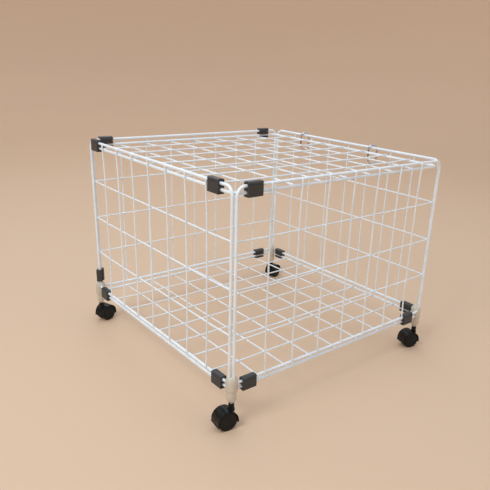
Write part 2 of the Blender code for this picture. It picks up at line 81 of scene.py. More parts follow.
# Lumps of coating at the welds: half-sizes along the panel's axes
WELD_COLUMN_END = (0.0021, 0.0024, 0.0010)
WELD_ROW_END = (0.0024, 0.0021, 0.0010)
WELD_CROSSING = (0.0018, 0.0018, 0.0010)
WELD_LUMP_DROP = 0.0009

# Clips
CLIP_LENGTH = 0.029
CLIP_FROM_CORNER = 0.0370
CLIP_FURTHER = 0.0500
CLIP_PRONG = 0.0036
CLIP_BACK = 0.0034
CLIP_SLIT = 0.0010
CLIP_CHANNEL = 0.0032
CLIP_REACH = 0.0066
POST_CLIP_HEIGHT = 0.0315
POST_CLIP_PRONG = 0.0028
POST_CLIP_REACH = 0.0060

# Corner brackets
SLEEVE_RADIUS = 0.0087
SLEEVE_DROP = 0.0350
DOME_RADIUS = 0.0108
DOME_RISE = 0.0160
DOME_SPRING = 0.0036
DOME_BEHIND_STEM = 0.0005
STEM_INSET = {"front": 0.0055, "right": 0.0055, "back": 0.0055, "left": 0.0005}
SHANK = 0.0170
BORE_RADIUS = 0.0043
DOOR_ROOM = 0.0007

# Casters
WHEEL_RADIUS = 0.0182
WHEEL_INNER = 0.0037
WHEEL_OUTER = 0.0134
HOOD_RADIUS = 0.0200
HOOD_CAVITY = 0.0191
HOOD_HALF_WIDTH = 0.0142
WEB_HALF = 0.0030
HUB_RADIUS = 0.0064
COLLAR_RADIUS = 0.0053
COLLAR_TOP = 0.0292
SOCKET_FLOOR = 0.0194
SOCKET_RADIUS = 0.0035
AXLE_HALF = 0.0088
AXLE_BORE = 0.0018
TRAIL = 0.0120
CASTER_YAW = {"front": -8.0, "right": -20.0, "left": 199.0, "back": 195.0}

# Snap hooks
HOOK_RADIUS = 0.0019
HOOK_HALF_WIDTH = 0.0096
HOOK_STRAIGHT = 0.0115
HOOK_PIVOT = -0.0095
HOOK_NOSE = 0.0095
HOOK_YAW = -40.0
HOOK_MIDDLE = -0.0151
KNUCKLE_RADIUS = 0.0026
KNUCKLE_HALF = 0.0032
TONGUE_HALF = 0.0011
HOOKS = {"near": 0.188, "far": 0.420}

# Camera: yaw, pitch and roll in degrees, place from the cage's front corner, lens in millimetres
CAMERA_TURN = (40.988, 20.606, 2.680)
CAMERA_PLACE = (-0.4943, -0.6720, 0.5281 + SIDE_LOW)
CAMERA_LENS = 41.21
CAMERA_SHIFT = (-0.0628, 0.0507)

# The front corner of the cage in the shared frame, from the CAD's own box
DOOR_LOW, DOOR_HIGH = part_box("door_panel")
ORIGIN = Vector((-PLANE_SPAN / 2, (DOOR_LOW[1] + DOOR_HIGH[1]) / 2 - PLANE_SPAN / 2, 0))

# Each corner's place from the front corner, and its turn in degrees
CORNERS = {
    "front": (0, 0, 0),
    "right": (PLANE_SPAN, 0, 90),
    "back": (PLANE_SPAN, PLANE_SPAN, 180),
    "left": (0, PLANE_SPAN, 270),
}


# ---------------------------------------------------------------- mesh helpers

def yaw_at(x, y, z, degrees):
    """A place measured from the cage's front corner, turned about Z."""
    move = Matrix.Translation(ORIGIN + Vector((x, y, z)))
    return move @ Matrix.Rotation(math.radians(degrees), 4, "Z")


def smooth(mesh, degrees):
    """Smooth shading, with sharp edges above an angle."""
    mesh.shade_smooth()
    mesh.set_sharp_from_angle(angle=math.radians(degrees))


def plain_object(name, bm, place=None, smooth_angle=35):
    """Turns a bmesh into a smooth object with sharp edges above an angle."""
    bmesh.ops.recalc_face_normals(bm, faces=bm.faces)
    if place is not None:
        bm.transform(place)
    mesh = bpy.data.meshes.new(name)
    bm.to_mesh(mesh)
    bm.free()
    smooth(mesh, smooth_angle)
    obj = bpy.data.objects.new(name, mesh)
    bpy.context.scene.collection.objects.link(obj)
    return obj


def piece(obj, node, body, material):
    """Gives an object its material, hangs it on the body's empty and hides the CAD node it stands
    in for.
    """
    obj.data.materials.clear()
    obj.data.materials.append(material)
    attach(obj, body)
    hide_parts(node)
    return obj


def combine(target, operand, operation):
    """Applies a boolean to the target and removes the operand."""
    modifier = target.modifiers.new("combine", "BOOLEAN")
    modifier.operation = operation
    modifier.solver = "EXACT"
    modifier.object = operand
    graph = bpy.context.evaluated_depsgraph_get()
    mesh = bpy.data.meshes.new_from_object(target.evaluated_get(graph))
    target.modifiers.clear()
    target.data = mesh
    bpy.data.objects.remove(operand, do_unlink=True)


def soften(obj, width, angle=40, segments=3):
    """Rounds an object's edges."""
    modifier = obj.modifiers.new("rounding", "BEVEL")
    modifier.width = width
    modifier.segments = segments
    modifier.limit_method = "ANGLE"
    modifier.angle_limit = math.radians(angle)
    modifier.use_clamp_overlap = True
    modifier.miter_outer = "MITER_ARC"


def sweep(bm, path, normal, radii, sides, closed=False):
    """A round bar along a path in the plane with the given normal.

    radii is one number, or a list with one for each point.
    """
    count = len(path)
    rings = []
    for index, point in enumerate(path):
        radius = radii[index] if isinstance(radii, list) else radii
        before = path[index - 1] if index or closed else point
        after = path[(index + 1) % count] if index < count - 1 or closed else point
        way_in = (point - before).normalized()
        way_out = (after - point).normalized()
        tangent = (way_in + way_out).normalized()
        side = tangent.cross(normal)
        ring = []
        for step in range(sides):
            angle = 2 * math.pi * step / sides
            spoke = math.cos(angle) * side + math.sin(angle) * normal
            ring.append(bm.verts.new(point + radius * spoke))
        rings.append(ring)
    pairs = list(zip(rings, rings[1:]))
    if closed:
        pairs.append((rings[-1], rings[0]))
    else:
        bm.faces.new(rings[0])
        bm.faces.new(rings[-1])
    for first, second in pairs:
        for step in range(sides):
            after = (step + 1) % sides
            bm.faces.new((first[step], first[after], second[after], second[step]))


def round_bar(bm, path, normal, radius, sides):
    """An open bar with rounded ends inside its own length."""
    start, end = (path[1] - path[0]).normalized(), (path[-2] - path[-1]).normalized()
    points, radii = [], []
    for share, size in BAR_END:
        points.append(path[0] + start * radius * share)
        radii.append(radius * size)
    points += path[1:-1]
    radii += [radius] * (len(path) - 2)
    for share, size in reversed(BAR_END):
        points.append(path[-1] + end * radius * share)
        radii.append(radius * size)
    sweep(bm, points, normal, radii, sides)


def polar(radius, degrees):
    angle = math.radians(degrees)
    return Vector((radius * math.cos(angle), radius * math.sin(angle), 0))


def arc(centre, radius, start, stop, steps):
    """Points along an arc in the XY plane, its angles in degrees."""
    middle, turn = Vector((*centre, 0)), (stop - start) / steps
    return [middle + polar(radius, start + turn * step) for step in range(steps + 1)]


def extrude_outline(bm, outline, low, high):
    """A straight solid along Z with the outline as its section."""
    bottom = [bm.verts.new((x, y, low)) for x, y in outline]
    top = [bm.verts.new((x, y, high)) for x, y in outline]
    bm.faces.new(bottom)
    bm.faces.new(top)
    for index in range(len(outline)):
        after = (index + 1) % len(outline)
        bm.faces.new((bottom[index], bottom[after], top[after], top[index]))


def lathe(bm, profile, sides):
    """A turned solid about Z. profile is (radius, z), from one end to the other."""
    rings = []
    for radius, z in profile:
        if radius == 0:
            rings.append([bm.verts.new((0, 0, z))])
            continue
        ring = []
        for step in range(sides):
            angle = 2 * math.pi * step / sides
            ring.append(bm.verts.new((radius * math.cos(angle), radius * math.sin(angle), z)))
        rings.append(ring)
    for first, second in zip(rings, rings[1:]):
        for step in range(sides):
            after = (step + 1) % sides
            if len(first) == 1:
                bm.faces.new((first[0], second[after], second[step]))
            elif len(second) == 1:
                bm.faces.new((first[step], first[after], second[0]))
            else:
                bm.faces.new((first[step], first[after], second[after], second[step]))
    for ring in (rings[0], rings[-1]):
        if len(ring) > 1:
            bm.faces.new(ring)


def turned(profile, sides, move=(0, 0, 0), upright=True):
    """A turned solid, moved, with its axis upright or along Y."""
    bm = bmesh.new()
    lathe(bm, profile, sides)
    if not upright:
        bmesh.ops.rotate(bm, verts=bm.verts, matrix=Matrix.Rotation(math.radians(-90), 3, "X"))
    bmesh.ops.translate(bm, verts=bm.verts, vec=move)
    return bm


def blob(bm, centre, radii, axes, rings=6, sides=12):
    """A smooth lump of coating, with half-sizes along three axes."""
    def at(theta, phi):
        unit = (math.sin(theta) * math.cos(phi), math.sin(theta) * math.sin(phi), math.cos(theta))
        parts = (axis * size * part for axis, size, part in zip(axes, radii, unit))
        return centre + sum(parts, Vector())

    top, bottom = bm.verts.new(at(0, 0)), bm.verts.new(at(math.pi, 0))
    loops = []
    for row in range(1, rings):
        theta = math.pi * row / rings
        loops.append([bm.verts.new(at(theta, 2 * math.pi * step / sides)) for step in range(sides)])
    for step in range(sides):
        after = (step + 1) % sides
        bm.faces.new((top, loops[0][step], loops[0][after]))
        bm.faces.new((bottom, loops[-1][after], loops[-1][step]))
        for first, second in zip(loops, loops[1:]):
            bm.faces.new((first[step], second[step], second[after], first[after]))


# ---------------------------------------------------------------- materials

def material_base(name, colour, roughness, metallic=0.0):
    """A new material with its node tree and its shader."""
    material = bpy.data.materials.new(name)
    material.use_nodes = True
    shader = material.node_tree.nodes["Principled BSDF"]
    shader.inputs["Base Color"].default_value = (*colour, 1)
    shader.inputs["Roughness"].default_value = roughness
    shader.inputs["Metallic"].default_value = metallic
    return material, material.node_tree, shader


def add_noise(tree, scale, detail=3.0, roughness=0.55, stretch=None, distortion=0.0):
    """Noise over the object's own coordinates, stretched if asked."""
    coordinates = tree.nodes.new("ShaderNodeTexCoord")
    noise = tree.nodes.new("ShaderNodeTexNoise")
    noise.inputs["Scale"].default_value = scale
    noise.inputs["Detail"].default_value = detail
    noise.inputs["Roughness"].default_value = roughness
    noise.inputs["Distortion"].default_value = distortion
    source = coordinates.outputs["Object"]
    if stretch:
        mapping = tree.nodes.new("ShaderNodeMapping")
        mapping.inputs["Scale"].default_value = stretch
        tree.links.new(source, mapping.inputs["Vector"])
        source = mapping.outputs["Vector"]
    tree.links.new(source, noise.inputs["Vector"])
    return noise.outputs["Fac"]


def add_ramp(tree, source, stops):
    """A colour ramp. stops is (position, colour) with a grey value or an RGB colour."""
    ramp = tree.nodes.new("ShaderNodeValToRGB")
    elements = ramp.color_ramp.elements
    while len(elements) < len(stops):
        elements.new(0.5)
    for element, (position, colour) in zip(elements, stops):
        element.position = position
        element.color = (*colour, 1) if isinstance(colour, tuple) else (colour, colour, colour, 1)
    tree.links.new(source, ramp.inputs["Fac"])
    return ramp.outputs["Color"]


def colour_sockets(sockets):
    """A mix node has sockets for every data type. These are the ones that carry colours."""
    return [socket for socket in sockets if socket.type == "RGBA"]


def mix_colours(tree, factor, first, second):
    """Mixes two colours, each a socket or an RGB colour."""
    mix = tree.nodes.new("ShaderNodeMix")
    mix.data_type = "RGBA"
    tree.links.new(factor, mix.inputs["Factor"])
    for value, socket in zip((first, second), colour_sockets(mix.inputs)):
        if isinstance(value, tuple):
            socket.default_value = (*value, 1)
        else:
            tree.links.new(value, socket)
    return colour_sockets(mix.outputs)[0]


def add_bump(tree, shader, heights):
    """Bump nodes in a chain. heights is (source, strength, distance in metres)."""
    normal = None
    for source, strength, distance in heights:
        bump = tree.nodes.new("ShaderNodeBump")
        bump.inputs["Strength"].default_value = strength
        bump.inputs["Distance"].default_value = distance
        tree.links.new(source, bump.inputs["Height"])
        if normal is not None:
            tree.links.new(normal, bump.inputs["Normal"])
        normal = bump.outputs["Normal"]
    tree.links.new(normal, shader.inputs["Normal"])


def coated_wire():
    """White plastic-dipped wire: glossy, a little uneven, greyer where the coat is thin."""
    material, tree, shader = material_base("white_coat", (0.77, 0.86, 0.93), 0.30)
    cloud = add_noise(tree, 34, 4)
    tone = add_ramp(tree, cloud, ((0.30, (0.72, 0.80, 0.86)), (0.62, (0.82, 0.885, 0.93))))
    speck = add_ramp(tree, add_noise(tree, 620, 2), ((0.66, 0.0), (0.74, 0.45)))
    colour = mix_colours(tree, speck, tone, (0.62, 0.68, 0.74))
    tree.links.new(colour, shader.inputs["Base Color"])
    gloss = add_ramp(tree, add_noise(tree, 140, 3), ((0.3, 0.22), (0.7, 0.40)))
    tree.links.new(gloss, shader.inputs["Roughness"])
    shader.inputs["Coat Weight"].default_value = 0.25
    shader.inputs["Coat Roughness"].default_value = 0.12
    waves, pores = add_noise(tree, 420, 2), add_noise(tree, 1500, 2)
    add_bump(tree, shader, ((waves, 0.35, 0.00008), (pores, 0.2, 0.00003)))
    return material


def clip_plastic():
    """Charcoal plastic with a spark-eroded grain and a few paler scuffs."""
    material, tree, shader = material_base("charcoal_grain", (0.030, 0.031, 0.033), 0.46)
    grain = add_noise(tree, 1100, 4, 0.7)
    tone = add_ramp(tree, grain, ((0.35, (0.018, 0.019, 0.020)), (0.70, (0.050, 0.051, 0.053))))
    marks = add_noise(tree, 260, 5, 0.7, (1.0, 1.0, 3.0), 0.6)
    scuff = add_ramp(tree, marks, ((0.62, 0.0), (0.72, 0.5)))
    colour = mix_colours(tree, scuff, tone, (0.11, 0.11, 0.115))
    tree.links.new(colour, shader.inputs["Base Color"])
    gloss = add_ramp(tree, add_noise(tree, 300, 3), ((0.3, 0.34), (0.7, 0.56)))
    tree.links.new(gloss, shader.inputs["Roughness"])
    add_bump(tree, shader, ((grain, 0.55, 0.00010), (add_noise(tree, 160, 2), 0.25, 0.00015)))
    return material


def bracket_plastic():
    """Matte beige plastic with faint flow marks."""
    material, tree, shader = material_base("beige_moulded", (0.60, 0.555, 0.465), 0.52)
    flow = add_noise(tree, 70, 4, 0.6, (1.0, 1.0, 0.35), 0.8)
    tone = add_ramp(tree, flow, ((0.30, (0.55, 0.505, 0.42)), (0.68, (0.645, 0.60, 0.505))))
    fleck = add_ramp(tree, add_noise(tree, 900, 3), ((0.64, 0.0), (0.76, 0.35)))
    colour = mix_colours(tree, fleck, tone, (0.46, 0.42, 0.345))
    tree.links.new(colour, shader.inputs["Base Color"])
    gloss = add_ramp(tree, add_noise(tree, 220, 3), ((0.3, 0.44), (0.7, 0.62)))
    tree.links.new(gloss, shader.inputs["Roughness"])
    add_bump(tree, shader, ((add_noise(tree, 1300, 3), 0.35, 0.00006), (flow, 0.2, 0.00020)))
    return material


def caster_nylon(name, dark, pale, low, high):
    """Black nylon with fine turning marks and dust."""
    material, tree, shader = material_base(name, dark, (low + high) / 2)
    cloud = add_noise(tree, 150, 4, 0.65)
    tone = add_ramp(tree, cloud, ((0.35, dark), (0.72, pale)))
    dust = add_ramp(tree, add_noise(tree, 1400, 4, 0.75), ((0.66, 0.0), (0.80, 0.4)))
    colour = mix_colours(tree, dust, tone, (0.040, 0.038, 0.036))
    tree.links.new(colour, shader.inputs["Base Color"])
    gloss = add_ramp(tree, add_noise(tree, 260, 3), ((0.3, low), (0.7, high)))
    tree.links.new(gloss, shader.inputs["Roughness"])
    shader.inputs["Specular IOR Level"].default_value = 0.18
    add_bump(tree, shader, ((add_noise(tree, 700, 3), 0.3, 0.00006),))
    return material


def plated_steel(name, dark, pale):
    """Plated wire with a fine drawn grain."""
    material, tree, shader = material_base(name, pale, 0.22, 1.0)
    cloud = add_noise(tree, 260, 4)
    tone = add_ramp(tree, cloud, ((0.3, dark), (0.7, pale)))
    tree.links.new(tone, shader.inputs["Base Color"])
    drawn = add_noise(tree, 900, 3, 0.6, (1.0, 1.0, 0.12))
    gloss = add_ramp(tree, drawn, ((0.3, 0.16), (0.7, 0.34)))
    tree.links.new(gloss, shader.inputs["Roughness"])
    add_bump(tree, shader, ((drawn, 0.25, 0.00004),))
    return material


# ---------------------------------------------------------------- wire panels

def bow(run, length):
    """How far a mesh wire stands off the panel's middle plane at a point along it."""
    near = min(run, length - run)
    if near >= BOW_RUN:
        return LAYER
    share = near / BOW_RUN
    return WELD_OFFSET + (LAYER - WELD_OFFSET) * share


def wire_line(start, along, length, outward):
    """A wire's path: from its weld on the frame in to the other layer, and out again."""
    blur = 0.008
    level = BOW_RUN + blur
    ends = (0, 0.004, 0.020, 0.040, 0.052, BOW_RUN, level)
    parts = 6
    runs = list(ends)
    runs += [level + (length - 2 * level) * part / parts for part in range(1, parts)]
    runs += [length - run for run in reversed(ends)]
    points = []
    for run in runs:
        low, high = max(0, run - blur), min(length, run + blur)
        rise = (bow(low, length) + 2 * bow(run, length) + bow(high, length)) / 4
        points.append(start + along * run + outward * rise)
    return points


def ring_path(width, height, low_radius, high_radius, steps):
    """A rectangle with rounded corners, from the lower right corner onwards."""
    path = []
    corners = (
        (width - low_radius, low_radius, low_radius, -90),
        (width - high_radius, height - high_radius, high_radius, 0),
        (high_radius, height - high_radius, high_radius, 90),
        (low_radius, low_radius, low_radius, 180),
    )
    for x, y, radius, start in corners:
        path += arc((x, y), radius, start, start + 90, steps)
    return path


def make_panel(node, body, size, radii, row_levels, place, ends, coat):
    """A frame wire with a layer of columns on one side and a layer of rows on the other.

    radii are the frame's lower and upper corner radii, and ends is how far the columns pass it.
    """
    width, height = size
    x_axis, y_axis, z_axis = Vector((1, 0, 0)), Vector((0, 1, 0)), Vector((0, 0, 1))
    bm = bmesh.new()
    ring = ring_path(width, height, *radii, 12)
    sweep(bm, ring, z_axis, FRAME_RADIUS, FRAME_SEGMENTS, closed=True)
    first = (width - (MESH_WIRES - 1) * COLUMN_PITCH) / 2
    columns = [first + COLUMN_PITCH * index for index in range(MESH_WIRES)]
    weld_level = WELD_OFFSET - WELD_LUMP_DROP
    axes = (x_axis, y_axis, z_axis)
    for x in columns:
        line = wire_line(Vector((x, -ends, 0)), y_axis, height + 2 * ends, z_axis)
        round_bar(bm, line, x_axis, MESH_RADIUS, MESH_SEGMENTS)
        for y in (0, height):
            blob(bm, Vector((x, y, weld_level)), WELD_COLUMN_END, axes)
    for y in row_levels:
        line = wire_line(Vector((ROW_END_INSET, y, 0)), x_axis, width - 2 * ROW_END_INSET, -z_axis)
        round_bar(bm, line, y_axis, MESH_RADIUS, MESH_SEGMENTS)
        for x in (0, width):
            blob(bm, Vector((x, y, -weld_level)), WELD_ROW_END, axes)
        for x in columns:
            middle = (bow(y + ends, height + 2 * ends) - bow(x, width)) / 2
            blob(bm, Vector((x, y, middle)), WELD_CROSSING, axes)
    panel = plain_object(node + "_wires", bm, place, smooth_angle=70)
    return piece(panel, node, body, coat)


def make_panels(coat):
    far = POST_INSET + RING_WIDTH
    rows = [RING_HEIGHT / 2 + ROW_PITCH * number for number in (-1, 0, 1)]
    upright = Matrix.Rotation(math.radians(90), 4, "X")
    sides = (
        ("right_front_panel", "cage", POST_INSET, 0, 0),
        ("door_panel", "door", PLANE_SPAN, POST_INSET, 90),
        ("back_left_panel", "cage", far, PLANE_SPAN, 180),
        ("left_front_panel", "cage", 0, far, 270),
    )
    for node, body, x, y, degrees in sides:
        place = yaw_at(x, y, SIDE_LOW, degrees) @ upright
        size, radii = (RING_WIDTH, RING_HEIGHT), (SIDE_CORNER, SIDE_CORNER)
        make_panel(node, body, size, radii, rows, place, COLUMN_END, coat)
    flats = (
        ("bottom_panel", SIDE_LOW - CLIP_PITCH, FLAT_INSET, FLAT_CORNER),
        ("top_panel", SIDE_HIGH - CLIP_PITCH, LID_DOOR_GAP, LID_CORNER),
    )
    width = PLANE_SPAN - 2 * FLAT_INSET
    for node, level, gap, near_radius in flats:
        first = PLANE_SPAN / 2 - (MESH_WIRES - 1) / 2 * COLUMN_PITCH - gap
        flat_rows = [first + COLUMN_PITCH * index for index in range(MESH_WIRES)]
        place = yaw_at(PLANE_SPAN - gap, FLAT_INSET, level, 90)
        size, radii = (width, PLANE_SPAN - FLAT_INSET - gap), (near_radius, FLAT_CORNER)
        make_panel(node, "cage", size, radii, flat_rows, place, FLAT_COLUMN_END, coat)


# ---------------------------------------------------------------- clips

def clip_outline(pitch, prong, reach):
    """The clip's section: X is depth away from the cage, Y runs up across the two channels.

    The upper channel wraps round its wire and the lower one is open to the inside.
    """
    channel = CLIP_CHANNEL
    outer = pitch / 2 + channel + prong
    back = channel + CLIP_BACK
    groove = outer - 0.0050
    low = pitch / 2 - channel
    section = [
        (back - 0.0009, groove - 0.0004),
        (back - 0.0009, groove + 0.0004),
        (back + 0.0001, groove + 0.0009),
        (back + 0.0001, outer - 0.0026),
        (back - 0.0007, outer - 0.0010),
        (back - 0.0024, outer),
        (-channel + 0.0006, outer),
        (-reach + 0.0009, outer - 0.0009),
        (-reach, outer - 0.0026),
        (-reach, low + CLIP_SLIT + 0.0005),
        (-reach + 0.0005, low + CLIP_SLIT),
        (-channel, low + CLIP_SLIT),
    ]
    section += [point.xy for point in arc((0, pitch / 2), channel, 180, -90, 12)]
    section += [
        (-reach, low),
        (-reach, -pitch / 2 + channel - 0.0008),
        (-reach + 0.0020, -pitch / 2 + channel - 0.0009),
        (-reach + 0.0026, -pitch / 2 + channel),
    ]
    section += [point.xy for point in arc((0, -pitch / 2), channel, 90, -90, 8)]
    section += [
        (-reach + 0.0026, -pitch / 2 - channel),
        (-reach + 0.0020, -pitch / 2 - channel + 0.0009),
        (-reach, -pitch / 2 - channel + 0.0008),
        (-reach, -outer + 0.0010),
        (-reach + 0.0012, -outer),
        (back - 0.0012, -outer),
        (back, -outer + 0.0010),
        (back, -outer + 0.0026),
        (back - 0.0004, -outer + 0.0031),
        (back - 0.0004, -outer + 0.0036),
        (back, -outer + 0.0041),
        (back, groove - 0.0009),
    ]
    return section


def make_clip(node, place, outline, plastic):
    bm = bmesh.new()
    extrude_outline(bm, outline, -CLIP_LENGTH / 2, CLIP_LENGTH / 2)
    bmesh.ops.rotate(bm, verts=bm.verts, matrix=Matrix(((0, 0, -1), (-1, 0, 0), (0, 1, 0))))
    clip = plain_object(node + "_moulding", bm, place, smooth_angle=32)
    soften(clip, 0.00035, 45, 3)
    return piece(clip, node, "cage", plastic)


def make_clips(plastic):
    outline = clip_outline(CLIP_PITCH, CLIP_PRONG, CLIP_REACH)
    near, far = CLIP_FROM_CORNER, PLANE_SPAN - CLIP_FROM_CORNER
    inner_near, inner_far = CLIP_FURTHER, PLANE_SPAN - CLIP_FURTHER
    seats = (
        ("clip_top_left_side_front", 0, inner_near, 270, "top"),
        ("clip_top_left_side_left", 0, far, 270, "top"),
        ("clip_top_back_left", near, PLANE_SPAN, 180, "top"),
        ("clip_top_back_far", inner_far, PLANE_SPAN, 180, "top"),
        ("clip_top_right_side_front", near, 0, 0, "top"),
        ("clip_bottom_left_side_front", 0, near, 270, "bottom"),
        ("clip_bottom_left_side_left", 0, far, 270, "bottom"),
        ("clip_bottom_right_side_front", near, 0, 0, "bottom"),
        ("clip_bottom_right_side_right", inner_far, 0, 0, "bottom"),
        ("clip_bottom_back_far", inner_far, PLANE_SPAN, 180, "bottom"),
        ("clip_door_right", PLANE_SPAN, near, 90, "bottom"),
        ("clip_door_back", PLANE_SPAN, far, 90, "bottom"),
    )
    levels = {"top": SIDE_HIGH - CLIP_PITCH / 2, "bottom": SIDE_LOW - CLIP_PITCH / 2}
    for node, x, y, degrees, edge in seats:
        make_clip(node, yaw_at(x, y, levels[edge], degrees), outline, plastic)
    middle = POST_INSET / 2
    place = yaw_at(middle, PLANE_SPAN - middle, SIDE_LOW + POST_CLIP_HEIGHT, 225)
    place = place @ Matrix.Rotation(math.radians(-90), 4, "Y")
    outline = clip_outline(POST_INSET * math.sqrt(2), POST_CLIP_PRONG, POST_CLIP_REACH)
    make_clip("clip_left_corner_post", place, outline, plastic)


# ---------------------------------------------------------------- corner brackets

def corner_wires():
    """The wires that pass a lower corner, swollen a little, for hollowing a bracket."""
    bm = bmesh.new()
    radius = FRAME_RADIUS + CLEARANCE
    bend = arc((SIDE_CORNER, SIDE_CORNER), SIDE_CORNER, 180, 270, 10)
    upright = [Vector((0, 0.060, 0)), *bend, Vector((0.060, 0, 0))]
    right = [Vector((POST_INSET + point.x, 0, point.y)) for point in upright]
    left = [Vector((0, POST_INSET + point.x, point.y)) for point in upright]
    sweep(bm, right, Vector((0, -1, 0)), radius, 20)
    sweep(bm, left, Vector((-1, 0, 0)), radius, 20)
    bend = arc((FLAT_CORNER, FLAT_CORNER), FLAT_CORNER, 180, 270, 10)
    flat = [Vector((0, 0.060, 0)), *bend, Vector((0.060, 0, 0))]
    low = [point + Vector((FLAT_INSET, FLAT_INSET, -CLIP_PITCH)) for point in flat]
    sweep(bm, low, Vector((0, 0, 1)), radius, 20)
    return bm


def make_bracket(corner, door_side, beige):
    """The beige corner: a dome over the posts' feet, and a sleeve below it for the stem."""
    inset = STEM_INSET[corner]
    crown = DOME_RISE - DOME_SPRING
    dome = [(0, -0.0166), (0.0084, -0.0166), (0.0096, -0.0162), (0.0104, -0.0152)]
    dome += [(DOME_RADIUS, -0.0130), (DOME_RADIUS, 0.0020), (0.0107, 0.0040)]
    for degrees in range(16, 90, 10):
        angle = math.radians(degrees)
        dome.append((0.0106 * math.cos(angle), DOME_SPRING + crown * math.sin(angle)))
    dome.append((0, DOME_RISE))
    centre = inset + DOME_BEHIND_STEM
    bracket = plain_object("bracket_shape", turned(dome, 48, (centre, centre, 0)))
    sleeve = [(0, -SLEEVE_DROP), (0.0064, -SLEEVE_DROP), (0.0076, -SLEEVE_DROP + 0.0003)]
    sleeve += [(0.0081, -SLEEVE_DROP + 0.0010), (SLEEVE_RADIUS, -SLEEVE_DROP + 0.0024)]
    sleeve += [(SLEEVE_RADIUS, -0.0150), (0, -0.0140)]
    combine(bracket, plain_object("sleeve", turned(sleeve, 56, (inset, inset, 0))), "UNION")
    combine(bracket, plain_object("wires", corner_wires()), "DIFFERENCE")
    bore_end = -SLEEVE_DROP + SHANK + CLEARANCE
    bore = [(0, -0.050), (BORE_RADIUS, -0.050), (BORE_RADIUS, bore_end), (0, bore_end)]
    combine(bracket, plain_object("bore", turned(bore, 32, (inset, inset, 0))), "DIFFERENCE")
    if door_side:
        block = 0.080
        reach = FRAME_RADIUS + DOOR_ROOM - block / 2
        swing = bmesh.new()
        bmesh.ops.create_cube(swing, size=block)
        outward = Vector((reach, 0, 0)) if door_side == "x" else Vector((0, reach, 0))
        bmesh.ops.translate(swing, verts=swing.verts, vec=outward + Vector((0, 0, 0.0265)))
        combine(bracket, plain_object("swing", swing), "DIFFERENCE")
    x, y, degrees = CORNERS[corner]
    bracket.name = "bracket_" + corner + "_moulding"
    bracket.data.transform(yaw_at(x, y, SIDE_LOW, degrees))
    smooth(bracket.data, 40)
    soften(bracket, 0.0003, 50, 2)
    return piece(bracket, "bracket_" + corner, "cage", beige)


# ---------------------------------------------------------------- casters

def stem_centre(corner):
    """Where a caster's stem stands, measured from the front corner."""
    x, y, _ = CORNERS[corner]
    inset = STEM_INSET[corner]
    middle = PLANE_SPAN / 2
    return x + math.copysign(inset, middle - x), y + math.copysign(inset, middle - y)


def make_stem(corner, steel):
    """The stem: a pin in the hood, a flange over the collar, and a ribbed shank in the sleeve."""
    foot = WHEEL_RADIUS + SOCKET_FLOOR + CLEARANCE
    collar = WHEEL_RADIUS + COLLAR_TOP
    sleeve = SIDE_LOW - SLEEVE_DROP
    profile = [
        (0, foot), (0.0028, foot), (0.0032, foot + 0.0005),
        (0.0032, collar + 0.0005), (0.0045, collar + 0.0005), (0.0048, collar + 0.0009),
        (0.0048, collar + 0.0019), (0.0045, collar + 0.0023), (0.0039, collar + 0.0024),
        (0.0038, collar + 0.0028), (0.0038, sleeve + 0.0085), (0.0040, sleeve + 0.0095),
        (0.0042, sleeve + 0.0105), (0.0040, sleeve + 0.0115), (0.0036, sleeve + 0.0120),
        (0.0036, sleeve + 0.0158), (0.0030, sleeve + 0.0168), (0, sleeve + SHANK),
    ]
    place = yaw_at(*stem_centre(corner), 0, 0)
    stem = plain_object("stem_" + corner + "_turned", turned(profile, 40), place)
    return piece(stem, "stem_" + corner, "cage", steel)


def hood_outline():
    """Side view about the axle: an arched cover over the wheels, a hub, and a lip at each end."""
    cavity = HOOD_CAVITY - 0.0004
    points = [(HOOD_RADIUS + 0.0013, -11), (HOOD_RADIUS + 0.0011, -8), (HOOD_RADIUS + 0.0003, -4)]
    points += [(HOOD_RADIUS, angle) for angle in range(2, 187, 6)]
    points += [(HOOD_RADIUS + 0.0004, 190), (HOOD_RADIUS + 0.0011, 193.5)]
    points += [(HOOD_RADIUS + 0.0016, 196), (HOOD_RADIUS + 0.0014, 197.5)]
    points += [(cavity, 199.5), (HUB_RADIUS + 0.0011, 205)]
    points += [(HUB_RADIUS, angle) for angle in range(212, 330, 12)]
    points += [(HUB_RADIUS + 0.0011, 335), (cavity, 344)]
    return [polar(radius, degrees).xy for radius, degrees in points]


def box_mesh(size, matrix):
    """A box with the given edge lengths."""
    bm = bmesh.new()
    bmesh.ops.create_cube(bm, size=1.0)
    bm.transform(matrix @ Matrix.Diagonal((*size, 1)))
    return bm


